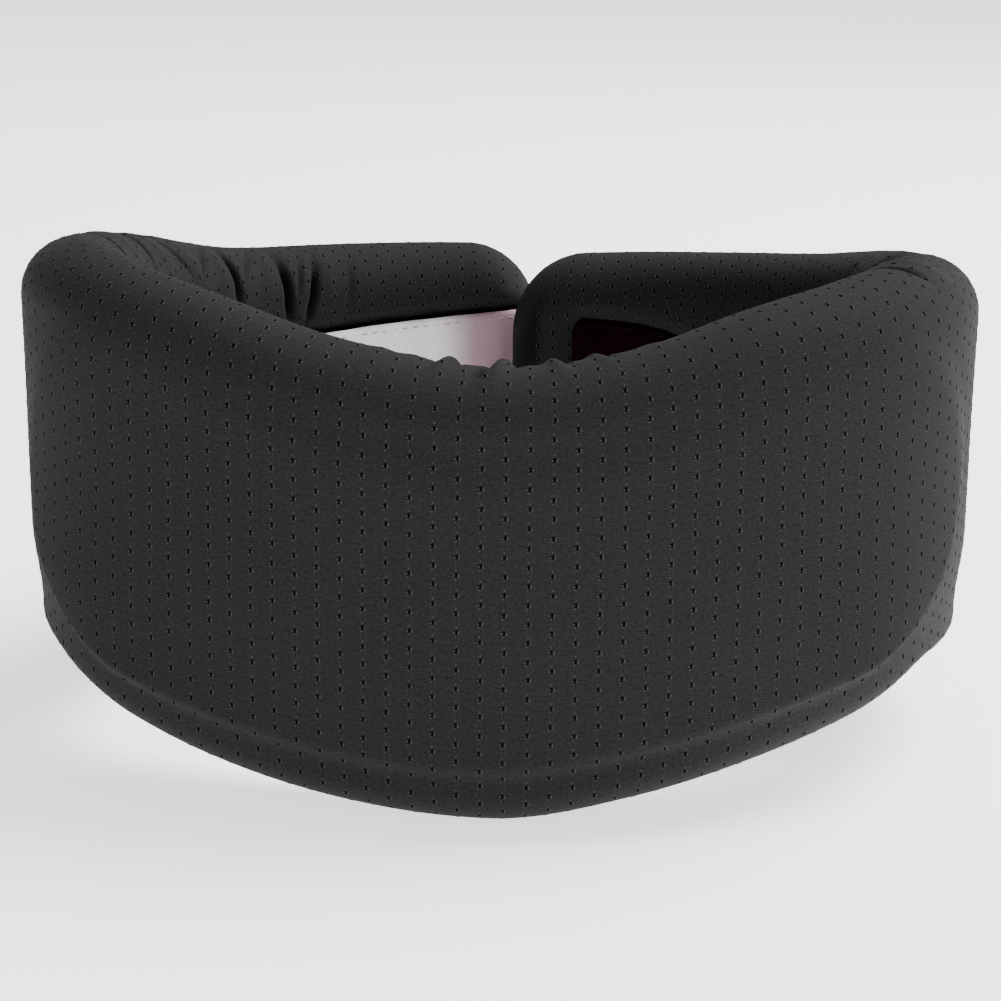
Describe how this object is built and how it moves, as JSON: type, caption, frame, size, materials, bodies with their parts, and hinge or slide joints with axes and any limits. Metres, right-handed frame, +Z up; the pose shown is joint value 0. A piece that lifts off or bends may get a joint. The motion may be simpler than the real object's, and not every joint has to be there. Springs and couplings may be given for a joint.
{
  "type": "cervical collar",
  "caption": "Soft foam cervical collar in a perforated knitted cover, with a stiffened front, a chin dip and overlapping ends that open at the back.",
  "frame": {"origin": "on the standing surface, in the middle of the collar's box", "axes": "+Z up, the chin dip faces -Y, the wearer's left half is on +X"},
  "size_m": [0.1896, 0.1712, 0.1015],
  "materials": {
    "cover_knit": "matt perforated stretch knit",
    "lining_fabric": "matt brushed lining",
    "hook_tape": "pale hook tape",
    "loop_pile": "matt loop pile",
    "foam": "open-cell foam",
    "board": "satin sheet plastic"
  },
  "bodies": {
    "front": {"cover_front": "cover_knit", "foam_front": "foam", "support_board": "board", "lining_front": "lining_fabric"},
    "left_wing": {"cover_left": "cover_knit", "foam_left": "foam", "lining_left": "lining_fabric", "hook_patch": "hook_tape"},
    "right_wing": {"cover_right": "cover_knit", "foam_right": "foam", "lining_right": "lining_fabric", "loop_patch": "loop_pile"}
  },
  "joints": [
    {"name": "left_opening", "type": "hinge", "parent": "front", "child": "left_wing", "pos_m": [-0.09448, -0.02633, 0.05], "axis": [0, 0, 1], "range_deg": [0, 50], "stiffness_Nm_per_rad": 0.02},
    {"name": "right_opening", "type": "hinge", "parent": "front", "child": "right_wing", "pos_m": [0.09454, -0.02048, 0.05], "axis": [0, 0, -1], "range_deg": [0, 50], "stiffness_Nm_per_rad": 0.02}
  ]
}
